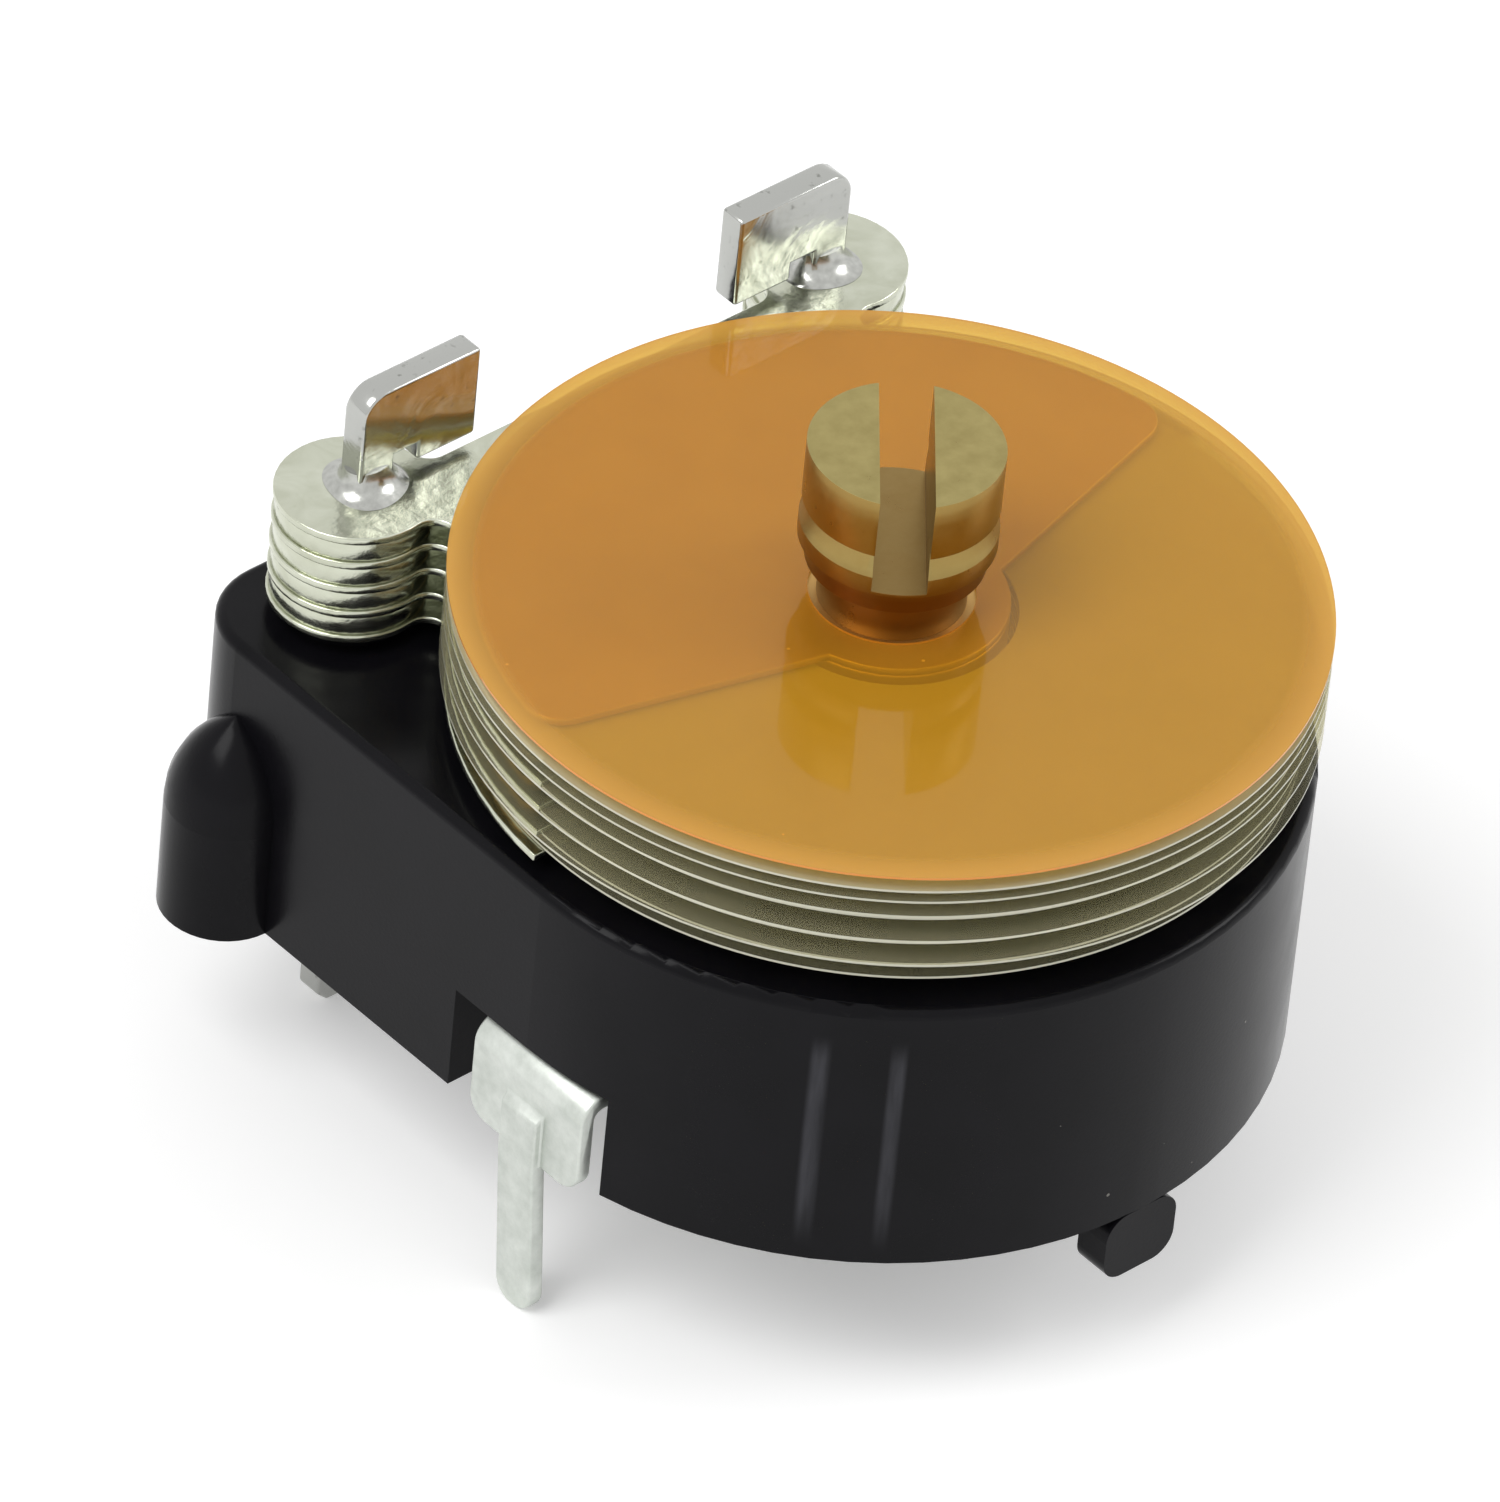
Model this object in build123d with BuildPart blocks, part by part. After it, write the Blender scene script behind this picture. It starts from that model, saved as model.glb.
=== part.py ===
from build123d import *
from math import radians, tan
import os

# Film trimmer capacitor, 10 mm size, for a printed circuit board.
#
# A brass spindle turns a pile of half-round rotor plates between fixed stator plates.
# Thin plastic film discs keep the plates apart.  Everything stands on a moulded base.
#
# Frame: millimetres, +Z up along the spindle's axis, +Y towards the two stator terminals,
# -X towards the rotor terminal.  The origin is on the spindle's axis, on the plane of the
# board that the base sits on.

# ---------------------------------------------------------------- driving dimensions (mm)
# moulded base
base_radius = 5.0            # round front of the base
base_back = 6.3              # back wall, measured from the spindle's axis
base_height = 3.7            # board to top face
base_corner = 1.0            # back corners
base_edge = 0.12             # round along the top edge
base_wall = 0.8              # side walls round the hollow underside
base_roof = 1.5              # thickness over the hollow underside
bearing_radius = 1.7         # bearing boss under the roof
slot_width = 2.45            # opening in the side wall for the rotor terminal
slot_height = 1.4
slot_depth = 1.15            # how far the opening is cut in from the wall's face
key_radius = 0.76            # upright half-round key on each side wall
key_straight = 1.5           # straight length of the key below its pointed top
key_height = 2.72
key_y = 5.2
foot_width = 1.06            # locating foot at the front
foot_thickness = 0.45
foot_drop = 0.9              # how far the foot reaches below the board plane
foot_round = 0.3

# capacitor pile
plate_count = 5              # stator plates, and as many rotor plates
plate_pitch = 0.355          # from one stator plate to the next
plate_thickness = 0.1
film_thickness = 0.03
film_radius = 5.0
film_seat = 0.005            # air between a film and the stator plate that it lies on
film_lift = 0.018            # air between the top film and the rotor plate under it
pile_gap = 0.205             # base's top face to the lowest stator plate
stator_radius = 4.92
stator_edge_y = 0.26         # straight front edge of a stator plate
stator_back_y = 4.97         # straight back edge of a stator plate, between its ears
stator_notch = 1.65          # clearance round the spindle's spacers
rotor_radius = 4.72
rotor_edge_slope = 15        # degrees that the straight edges rise towards the rim
rotor_edge_drop = 0.75       # how far below the axis the straight edges would meet
rotor_corner = 0.45
hub_radius = 1.35            # rotor plates' hub, spacers and thrust washer

# ears and stator terminals
ear_x = 3.55
ear_y = 5.1
ear_radius = 0.93
ear_neck = 0.25              # round between an ear and the plate's rim
spacer_inset = 0.03          # spacers are this much smaller in radius than the ears
stator_strip = 0.35          # thickness of the stator terminals
stator_stem = 0.5            # width of their stems and pins
stem_inset = 0.15            # stem's centre, in from the ear's centre
flag_length = 1.7
flag_rise = 1.375            # flag's top above the top stator plate
flag_clear_outer = 0.395     # flag's lower edge above that plate, beside the stem
flag_clear_inner = 0.155     # and further in
flag_step = 0.85             # length of the lower inner part
flag_round = 0.32
solder_radius = 0.52
solder_height = 0.3
pin_length = 2.1             # every pin, below the board plane
pin_tip = 0.15               # chamfer on the stator pins' tips

# rotor terminal, one folded strip
strip_thickness = 0.2
strip_bend = 0.12            # inside radius of the bend over the wall's slot
tab_width = 1.86
tab_offset = -0.17           # tab's centre along Y
tab_proud = 0.1              # tab's face beyond the wall's face
strip_clear = 0.05           # strip's top below the slot's top
joggle = 0.1                 # pin is pushed out of the tab by this much
joggle_z = 0.75              # height at which the pin leaves the tab
pin_width = 0.6
pin_lean = 5                 # degrees that the pin leans towards -Y
ring_radius = 1.5            # contact ring round the spindle
shoulder_round = 0.3

# spindle
shaft_radius = 0.8
neck_radius = 0.85
collar_radius = 1.13         # collar over the top film
collar_foot = 1.03
head_radius = 1.12
groove_radius = 0.98
neck_height = 0.5            # top film to collar
collar_rise = 0.3            # lower band of the collar
collar_band = 0.23
groove_rise = 0.3            # cone from the collar up to the head
head_height = 0.75
head_edge = 0.06
driver_width = 0.62          # screwdriver slot
driver_depth = 1.24
driver_angle = 49            # degrees from +X
washer_radius = 1.35         # retaining washer under the contact ring
washer_thickness = 0.22
rivet_radius = 1.0
rivet_height = 0.15

# clearances
shaft_fit = 0.03             # spindle in the base's bearing, on the radius
press_fit = 0.01             # plates and spacers on the spindle, on the radius
film_fit = 0.1               # film's hole round what turns in it, on the radius
stem_fit = 0.03              # stator stem in the plates, spacers and base, each side
turn_gap = 0.02              # between faces that slide on each other

# ---------------------------------------------------------------- derived places
roof_z = base_height - base_roof
spacer_height = plate_pitch - plate_thickness
stator_tops = [
    base_height + pile_gap + plate_thickness + plate_pitch * (plate_count - 1 - i)
    for i in range(plate_count)
]
rotor_bottoms = [top + (spacer_height - plate_thickness) / 2 for top in stator_tops]
rotor_top = rotor_bottoms[0] + plate_thickness
film_bottoms = []
for i in range(plate_count):
    film_bottoms.append(stator_tops[i] + film_seat)
    if i < plate_count - 1:
        film_bottoms.append(stator_tops[i] - plate_thickness - film_seat - film_thickness)
top_film_z = rotor_top + film_lift
top_film_top = top_film_z + film_thickness
stem_x = ear_x - stem_inset
strip_top = slot_height - strip_clear
strip_bottom = strip_top - strip_thickness
tab_face = base_radius + tab_proud
washer_top = strip_bottom - turn_gap
washer_bottom = washer_top - washer_thickness
spindle_bottom = washer_bottom - rivet_height
bearing_z = strip_top + turn_gap

os.makedirs("parts", exist_ok=True)


def save(builder, name):
    """Label a finished piece and write it as its own STEP file."""
    builder.part.label = name
    export_step(builder.part, f"parts/{name}.step")


# ---------------------------------------------------------------- moulded base
with BuildPart() as base:
    with BuildSketch(Plane.XY) as base_outline:
        Circle(base_radius)
        with Locations((0, base_back / 2)):
            Rectangle(2 * base_radius, base_back)
        fillet(base_outline.vertices().group_by(Axis.Y)[-1], base_corner)
    extrude(amount=base_height)
    fillet(base.faces().sort_by(Axis.Z)[-1].edges(), base_edge)

    # hollow underside
    with BuildSketch(Plane.XY):
        add(base_outline.sketch)
        offset(amount=-base_wall)
    extrude(amount=roof_z, mode=Mode.SUBTRACT)

    # bearing boss, and a post round each stator pin
    with BuildSketch(Plane.XY.offset(bearing_z)):
        Circle(bearing_radius)
    extrude(amount=roof_z - bearing_z)
    post_size = stator_stem + 2 * base_wall
    with BuildSketch(Plane.XY):
        with Locations((-stem_x, ear_y), (stem_x, ear_y)):
            Rectangle(post_size, post_size)
        add(base_outline.sketch, mode=Mode.INTERSECT)
    extrude(amount=roof_z)

    # low pad under each ear of the lowest stator plate
    with BuildSketch(Plane.XY.offset(base_height)):
        with Locations((-ear_x, ear_y), (ear_x, ear_y)):
            Circle(ear_radius - pile_gap)
    extrude(amount=pile_gap)

    # upright keys with pointed tops, half sunk in the side walls
    for side in (-1, 1):
        with BuildSketch(Plane.XZ.offset(-key_y)):
            with BuildLine():
                Polyline((side * base_radius, key_height), (side * base_radius, 0),
                         (side * (base_radius + key_radius), 0),
                         (side * (base_radius + key_radius), key_straight))
                TangentArc((side * (base_radius + key_radius), key_straight),
                           (side * base_radius, key_height), tangent=(0, 1))
            make_face()
        revolve(axis=Axis((side * base_radius, key_y, 0), (0, 0, 1)))

    # locating foot at the front
    with BuildSketch(Plane.XZ.offset(base_radius)) as foot_face:
        with Locations((0, -foot_drop / 2)):
            Rectangle(foot_width, foot_drop)
        fillet(foot_face.vertices().group_by(Axis.Z)[0], foot_round)
    extrude(amount=-foot_thickness)

    # holes: bearing, stator pins, and the wall's slot for the rotor terminal
    with BuildSketch(Plane.XY):
        Circle(shaft_radius + shaft_fit)
        with Locations((-stem_x, ear_y), (stem_x, ear_y)):
            Rectangle(stator_stem + 2 * stem_fit, stator_strip + 2 * stem_fit)
    extrude(amount=base_height + pile_gap, mode=Mode.SUBTRACT)
    with BuildSketch(Plane.XY):
        with Locations((-base_radius, 0)):
            Rectangle(2 * slot_depth, slot_width)
    extrude(amount=slot_height, mode=Mode.SUBTRACT)
save(base, "base")

# ---------------------------------------------------------------- stator plates
with BuildSketch(Plane.XY) as stator_outline:
    Circle(stator_radius)
    with Locations((0, stator_edge_y - stator_radius)):
        Rectangle(2 * stator_radius, 2 * stator_radius, mode=Mode.SUBTRACT)
    with Locations((0, stator_back_y / 2 + stator_edge_y / 2)):
        Rectangle(2 * (ear_x - ear_radius / 2), stator_back_y - stator_edge_y)
    with Locations((-ear_x, ear_y), (ear_x, ear_y)):
        Circle(ear_radius)
    offset(amount=ear_neck)
    offset(amount=-ear_neck)
    Circle(stator_notch, mode=Mode.SUBTRACT)
    with Locations((-stem_x, ear_y), (stem_x, ear_y)):
        Rectangle(stator_stem + 2 * stem_fit, stator_strip + 2 * stem_fit, mode=Mode.SUBTRACT)

for i, top in enumerate(stator_tops):
    with BuildPart() as stator_plate:
        with BuildSketch(Plane.XY.offset(top - plate_thickness)):
            add(stator_outline.sketch)
        extrude(amount=plate_thickness)
    save(stator_plate, f"stator_plate_{i + 1}")

# ---------------------------------------------------------------- rotor plates
edge_reach = 2 * rotor_radius
edge_height = edge_reach * tan(radians(rotor_edge_slope))
with BuildSketch(Plane.XY) as rotor_outline:
    Circle(rotor_radius)
    with BuildLine():
        Polyline((0, -rotor_edge_drop), (edge_reach, edge_height - rotor_edge_drop),
                 (edge_reach, -edge_reach), (-edge_reach, -edge_reach),
                 (-edge_reach, edge_height - rotor_edge_drop), close=True)
    make_face(mode=Mode.SUBTRACT)
    fillet(rotor_outline.vertices().group_by(Axis.Y)[-1], rotor_corner)
    Circle(hub_radius)
    Circle(shaft_radius + press_fit, mode=Mode.SUBTRACT)

for i, bottom in enumerate(rotor_bottoms):
    with BuildPart() as rotor_plate:
        with BuildSketch(Plane.XY.offset(bottom)):
            add(rotor_outline.sketch)
        extrude(amount=plate_thickness)
    save(rotor_plate, f"rotor_plate_{i + 1}")

# ---------------------------------------------------------------- films
for i, bottom in enumerate(film_bottoms):
    with BuildPart() as film:
        with BuildSketch(Plane.XY.offset(bottom)):
            Circle(film_radius)
            Circle(hub_radius + film_fit, mode=Mode.SUBTRACT)
        extrude(amount=film_thickness)
    save(film, f"clear_film_{i + 1}")

with BuildPart() as top_film:
    with BuildSketch(Plane.XY.offset(top_film_z)):
        Circle(film_radius)
        Circle(neck_radius + film_fit, mode=Mode.SUBTRACT)
    extrude(amount=film_thickness)
save(top_film, "top_film")

# ---------------------------------------------------------------- spacers and thrust washer
with BuildPart() as rotor_spacers:
    for bottom in rotor_bottoms[1:]:
        with BuildSketch(Plane.XY.offset(bottom + plate_thickness)):
            Circle(hub_radius)
            Circle(shaft_radius + press_fit, mode=Mode.SUBTRACT)
        extrude(amount=spacer_height)
save(rotor_spacers, "rotor_spacers")

with BuildPart() as thrust_washer:
    with BuildSketch(Plane.XY.offset(base_height)):
        Circle(hub_radius)
        Circle(shaft_radius + shaft_fit, mode=Mode.SUBTRACT)
    extrude(amount=rotor_bottoms[-1] - turn_gap - base_height)
save(thrust_washer, "thrust_washer")

for side, hand in ((-1, "left"), (1, "right")):
    with BuildPart() as stator_spacers:
        for top in stator_tops[1:]:
            with BuildSketch(Plane.XY.offset(top)):
                with Locations((side * ear_x, ear_y)):
                    Circle(ear_radius - spacer_inset)
                with Locations((side * stem_x, ear_y)):
                    Rectangle(stator_stem + 2 * stem_fit, stator_strip + 2 * stem_fit,
                              mode=Mode.SUBTRACT)
            extrude(amount=spacer_height)
    save(stator_spacers, f"stator_spacers_{hand}")

# ---------------------------------------------------------------- stator terminals
stem_outer = stem_x + stator_stem / 2
stem_inner = stem_x - stator_stem / 2
flag_inner = stem_outer - flag_length
flag_top = stator_tops[0] + flag_rise
flag_low = stator_tops[0] + flag_clear_inner
flag_high = stator_tops[0] + flag_clear_outer
for side, hand in ((-1, "left"), (1, "right")):
    with BuildPart() as stator_terminal:
        with BuildSketch(Plane.XZ.offset(-ear_y - stator_strip / 2)):
            with BuildLine():
                Polyline((side * stem_outer, -pin_length), (side * stem_outer, flag_top),
                         (side * flag_inner, flag_top), (side * flag_inner, flag_low),
                         (side * (flag_inner + flag_step), flag_low),
                         (side * (flag_inner + flag_step), flag_high),
                         (side * stem_inner, flag_high),
                         (side * stem_inner, -pin_length), close=True)
            make_face()
        extrude(amount=stator_strip)
        upright_edges = stator_terminal.edges().filter_by(Axis.Y).group_by(Axis.Z)
        fillet(upright_edges[-1].sort_by(Axis.X)[-1 if side > 0 else 0], flag_round)
        chamfer(upright_edges[0], pin_tip)
    save(stator_terminal, f"stator_terminal_{hand}")

    # solder that joins the stem to the top plate
    with BuildPart() as solder:
        with BuildSketch(Plane.XZ.offset(-ear_y)):
            with BuildLine():
                Polyline((side * stem_x, stator_tops[0]),
                         (side * (stem_x + solder_radius), stator_tops[0]))
                Spline((side * (stem_x + solder_radius), stator_tops[0]),
                       (side * (stem_x + solder_radius * 0.72), stator_tops[0] + solder_height * 0.3),
                       (side * (stem_x + solder_radius * 0.55), stator_tops[0] + solder_height))
                Polyline((side * (stem_x + solder_radius * 0.55), stator_tops[0] + solder_height),
                         (side * stem_x, stator_tops[0] + solder_height),
                         (side * stem_x, stator_tops[0]))
            make_face()
        revolve(axis=Axis((side * stem_x, ear_y, 0), (0, 0, 1)))
        with BuildSketch(Plane.XY.offset(stator_tops[0])):
            with Locations((side * stem_x, ear_y)):
                Rectangle(stator_stem, stator_strip)
        extrude(amount=2 * solder_height, mode=Mode.SUBTRACT)
    save(solder, f"solder_{hand}")

# ---------------------------------------------------------------- rotor terminal
tab_left = tab_offset + tab_width / 2
tab_right = tab_offset - tab_width / 2
pin_left = tab_offset + pin_width / 2
pin_right = tab_offset - pin_width / 2
bend_outer = strip_bend + strip_thickness
bend_x = -tab_face + bend_outer
lean_shift = pin_length * tan(radians(pin_lean))
with BuildPart() as rotor_terminal:
    # contact ring and the arm that leads to the wall
    with BuildSketch(Plane.XY.offset(strip_bottom)):
        Circle(ring_radius)
        with Locations((bend_x / 2, tab_offset)):
            Rectangle(-bend_x, tab_width)
        Circle(shaft_radius + shaft_fit, mode=Mode.SUBTRACT)
    extrude(amount=strip_thickness)

    # bend over the slot, and the tab down to the board plane
    with BuildSketch(Plane.XZ.offset(-tab_left)):
        with BuildLine():
            bend_centre = (bend_x, strip_top - bend_outer)
            CenterArc(bend_centre, bend_outer, 90, 90)
            Polyline((-tab_face, strip_top - bend_outer), (-tab_face, 0),
                     (-tab_face + strip_thickness, 0),
                     (-tab_face + strip_thickness, strip_top - bend_outer))
            CenterArc(bend_centre, strip_bend, 180, -90)
            Line((bend_x, strip_bottom), (bend_x, strip_top))
        make_face()
    extrude(amount=tab_width)
    shoulders = rotor_terminal.edges().filter_by(Axis.X).group_by(Axis.Z)[0]
    fillet(shoulders, shoulder_round)

    # pin, pushed out of the tab below its crease
    pin_slot = Plane.YZ.offset(-tab_face - joggle)
    with BuildSketch(Plane.YZ.offset(-tab_face)):
        with Locations((tab_offset, joggle_z / 2)):
            Rectangle(pin_width, joggle_z)
    extrude(amount=strip_thickness, mode=Mode.SUBTRACT)
    with BuildSketch(Plane.XZ.offset(-pin_left)):
        with BuildLine():
            Polyline((-tab_face, joggle_z), (-tab_face - joggle, joggle_z - joggle),
                     (-tab_face - joggle, 0), (-tab_face - joggle + strip_thickness, 0),
                     (-tab_face - joggle + strip_thickness, joggle_z - joggle),
                     (-tab_face + strip_thickness, joggle_z), close=True)
        make_face()
    extrude(amount=pin_width)
    with BuildSketch(pin_slot) as pin_face:
        with BuildLine():
            Polyline((pin_left, 0), (pin_right, 0),
                     (pin_right - lean_shift, -pin_length), (pin_left - lean_shift, -pin_length),
                     close=True)
        make_face()
        fillet(pin_face.vertices().group_by(Axis.Y)[0], 0.45 * pin_width)
    extrude(amount=strip_thickness)
save(rotor_terminal, "rotor_terminal")

# ---------------------------------------------------------------- spindle
collar_z = top_film_top + neck_height
band_z = collar_z + collar_rise
groove_z = band_z + collar_band
head_z = groove_z + groove_rise
head_top = head_z + head_height
with BuildPart() as spindle:
    with BuildSketch(Plane.XZ):
        with BuildLine():
            Polyline((0, spindle_bottom), (rivet_radius, spindle_bottom),
                     (rivet_radius, washer_bottom), (shaft_radius, washer_bottom),
                     (shaft_radius, rotor_top), (neck_radius, rotor_top),
                     (neck_radius, collar_z), (collar_foot, collar_z),
                     (collar_foot, band_z), (collar_radius, band_z),
                     (collar_radius, groove_z), (groove_radius, head_z),
                     (head_radius, head_z), (head_radius, head_top - head_edge),
                     (head_radius - head_edge, head_top), (0, head_top), close=True)
        make_face()
    revolve(axis=Axis.Z)
    with BuildSketch(Plane.XY.offset(head_top)):
        with Locations(Rotation(0, 0, driver_angle)):
            Rectangle(4 * head_radius, driver_width)
    extrude(amount=-driver_depth, mode=Mode.SUBTRACT)
save(spindle, "spindle")

with BuildPart() as retaining_washer:
    with BuildSketch(Plane.XY.offset(washer_bottom)):
        Circle(washer_radius)
        Circle(shaft_radius + press_fit, mode=Mode.SUBTRACT)
    extrude(amount=washer_thickness)
save(retaining_washer, "retaining_washer")
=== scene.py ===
import bpy
from math import atan2, cos, hypot, radians, sin
from mathutils import Matrix, Vector


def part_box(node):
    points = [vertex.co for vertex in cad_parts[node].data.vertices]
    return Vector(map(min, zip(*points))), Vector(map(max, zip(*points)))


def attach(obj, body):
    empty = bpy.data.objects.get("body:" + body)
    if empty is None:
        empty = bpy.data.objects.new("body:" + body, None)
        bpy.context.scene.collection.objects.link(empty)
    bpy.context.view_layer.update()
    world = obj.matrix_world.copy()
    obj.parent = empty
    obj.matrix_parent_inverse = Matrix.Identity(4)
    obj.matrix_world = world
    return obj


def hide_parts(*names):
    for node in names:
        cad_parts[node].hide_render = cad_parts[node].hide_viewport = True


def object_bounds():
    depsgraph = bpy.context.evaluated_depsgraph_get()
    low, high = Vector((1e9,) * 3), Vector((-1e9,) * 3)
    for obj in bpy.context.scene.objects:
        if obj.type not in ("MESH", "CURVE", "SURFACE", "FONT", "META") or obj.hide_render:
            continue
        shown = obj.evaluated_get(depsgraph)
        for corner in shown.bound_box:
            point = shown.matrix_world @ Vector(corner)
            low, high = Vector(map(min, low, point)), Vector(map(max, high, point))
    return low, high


# Film trimmer capacitor, 10 mm size.  A brass spindle turns half-round plates between fixed
# plates that two soldered terminals hold on a black moulded base.  Metres, +Z up the spindle.
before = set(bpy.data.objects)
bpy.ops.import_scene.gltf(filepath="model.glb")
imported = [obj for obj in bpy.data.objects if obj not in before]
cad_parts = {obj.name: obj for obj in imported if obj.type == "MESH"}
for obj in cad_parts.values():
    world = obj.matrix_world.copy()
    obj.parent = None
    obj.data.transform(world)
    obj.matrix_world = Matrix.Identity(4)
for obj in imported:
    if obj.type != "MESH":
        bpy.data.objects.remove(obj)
cad_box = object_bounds()
mm = 0.001


# ---------------------------------------------------------------- moulded base
# Black glass-filled polyester, injection moulded in one piece: a drum that is squared off at
# the back, a half-round key on each side, and a foot that finds its hole in the board.
def linear(hex_colour):
    """An sRGB hex colour as the linear RGBA that shaders use."""
    parts = [int(hex_colour[i:i + 2], 16) / 255 for i in (1, 3, 5)]
    return [p / 12.92 if p <= 0.04045 else ((p + 0.055) / 1.055) ** 2.4 for p in parts] + [1]


def new_material(name):
    """An empty material, its node tree and its output node."""
    material = bpy.data.materials.new(name)
    material.use_nodes = True
    material.node_tree.nodes.clear()
    return material, material.node_tree, material.node_tree.nodes.new("ShaderNodeOutputMaterial")


def add_node(tree, kind, settings={}, links={}):
    """Add a node.  Settings and links go by socket name or number, or by property name."""
    node = tree.nodes.new(kind)
    for key, value in settings.items():
        if isinstance(key, str) and key not in node.inputs:
            setattr(node, key, value)
    for key, value in settings.items():
        if not isinstance(key, str) or key in node.inputs:
            node.inputs[key].default_value = value
    for key, source in links.items():
        tree.links.new(source, node.inputs[key])
    return node


def dust_specks(tree, place, spacing, size, share):
    """A mask of round specks at a spacing.  Size is a speck's radius as a share of the spacing,
    and only that share of the places holds one."""
    cells = add_node(tree, "ShaderNodeTexVoronoi", {"Scale": 1 / spacing}, {"Vector": place})
    speck = add_node(tree, "ShaderNodeMath", {"operation": "LESS_THAN", 1: size},
                     {0: cells.outputs["Distance"]})
    chance = add_node(tree, "ShaderNodeSeparateColor", {}, {"Color": cells.outputs["Color"]})
    some = add_node(tree, "ShaderNodeMath", {"operation": "LESS_THAN", 1: share},
                    {0: chance.outputs["Red"]})
    both = add_node(tree, "ShaderNodeMath", {"operation": "MULTIPLY"},
                    {0: speck.outputs[0], 1: some.outputs[0]})
    return both.outputs[0]


# Polyester off a polished mould: deep black with a cool cast, glossy, a little cloudy where
# the melt met the steel, with a fine grain and a few dust specks on it.
base_plastic, tree, output = new_material("black_moulded_polyester")
place = add_node(tree, "ShaderNodeTexCoord").outputs["Object"]
cloud = add_node(tree, "ShaderNodeTexNoise", {"Scale": 1 / (0.9 * mm), "Detail": 5},
                 {"Vector": place})
colour = add_node(tree, "ShaderNodeMix", {"data_type": "RGBA", 6: linear("#08080A"),
                  7: linear("#121115")}, {0: cloud.outputs["Fac"]})
dusty = dust_specks(tree, place, spacing=0.75 * mm, size=0.035, share=0.3)
colour = add_node(tree, "ShaderNodeMix", {"data_type": "RGBA", 7: linear("#77756F")},
                  {0: dusty, 6: colour.outputs[2]})

# Two pale painted highlights, streaks that stand in for lamp reflections down the drum's wall, at
# these bearings in degrees and with these half widths in mm.  They are broken lengthways and fade
# at both ends.
painted_highlight_streaks = ((-138, 0.14), (-128, 0.12))
streak_masks = []
for bearing, half_width in painted_highlight_streaks:
    turned = add_node(tree, "ShaderNodeMapping", {"vector_type": "TEXTURE",
                      "Rotation": (0, 0, radians(bearing))}, {"Vector": place})
    sides = add_node(tree, "ShaderNodeSeparateXYZ", {}, {"Vector": turned.outputs[0]})
    off = add_node(tree, "ShaderNodeMath", {"operation": "ABSOLUTE"}, {0: sides.outputs["Y"]})
    band = add_node(tree, "ShaderNodeMapRange", {"interpolation_type": "SMOOTHSTEP",
                    "From Min": half_width * mm, "From Max": 0.35 * half_width * mm},
                    {"Value": off.outputs[0]})
    wall = add_node(tree, "ShaderNodeMapRange", {"From Min": 4.85 * mm, "From Max": 4.95 * mm},
                    {"Value": sides.outputs["X"]})
    streak_masks.append(add_node(tree, "ShaderNodeMath", {"operation": "MULTIPLY"},
                          {0: band.outputs[0], 1: wall.outputs[0]}).outputs[0])
both = add_node(tree, "ShaderNodeMath", {"operation": "ADD"}, {0: streak_masks[0], 1: streak_masks[1]})
streak_stretch = add_node(tree, "ShaderNodeMapping", {"Scale": (1, 1, 0.12)}, {"Vector": place})
broken = add_node(tree, "ShaderNodeTexNoise", {"Scale": 1 / (0.12 * mm), "Detail": 4},
                  {"Vector": streak_stretch.outputs[0]})
height = add_node(tree, "ShaderNodeSeparateXYZ", {}, {"Vector": place})
lower_end = add_node(tree, "ShaderNodeMapRange", {"interpolation_type": "SMOOTHSTEP",
                     "From Min": 0.1 * mm, "From Max": 1.0 * mm}, {"Value": height.outputs["Z"]})
upper_end = add_node(tree, "ShaderNodeMapRange", {"interpolation_type": "SMOOTHSTEP",
                     "From Min": 3.3 * mm, "From Max": 2.9 * mm}, {"Value": height.outputs["Z"]})
ends = add_node(tree, "ShaderNodeMath", {"operation": "MULTIPLY"},
                {0: lower_end.outputs[0], 1: upper_end.outputs[0]})
painted_streaks = add_node(tree, "ShaderNodeMath", {"operation": "MULTIPLY"},
                {0: both.outputs[0], 1: broken.outputs["Fac"]})
painted_streaks = add_node(tree, "ShaderNodeMath", {"operation": "MULTIPLY"},
                {0: painted_streaks.outputs[0], 1: ends.outputs[0]})
# painted highlight: the streak mask lightens the wall's black towards a pale grey
colour = add_node(tree, "ShaderNodeMix", {"data_type": "RGBA", 7: linear("#48484D")},
                  {0: painted_streaks.outputs[0], 6: colour.outputs[2]})

gloss = add_node(tree, "ShaderNodeMapRange", {"To Min": 0.13, "To Max": 0.3},
                 {"Value": cloud.outputs["Fac"]})
grain = add_node(tree, "ShaderNodeTexNoise", {"Scale": 1 / (0.05 * mm), "Detail": 3},
                 {"Vector": place})
relief = add_node(tree, "ShaderNodeBump", {"Strength": 0.25, "Distance": 0.004 * mm},
                  {"Height": grain.outputs["Fac"]})
plastic = add_node(tree, "ShaderNodeBsdfPrincipled", {"IOR": 1.5, "Specular IOR Level": 0.11},
                   {"Base Color": colour.outputs[2], "Roughness": gloss.outputs[0],
                    "Normal": relief.outputs[0]})
tree.links.new(plastic.outputs[0], output.inputs[0])

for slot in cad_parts["base"].material_slots:
    slot.material = base_plastic

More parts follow.
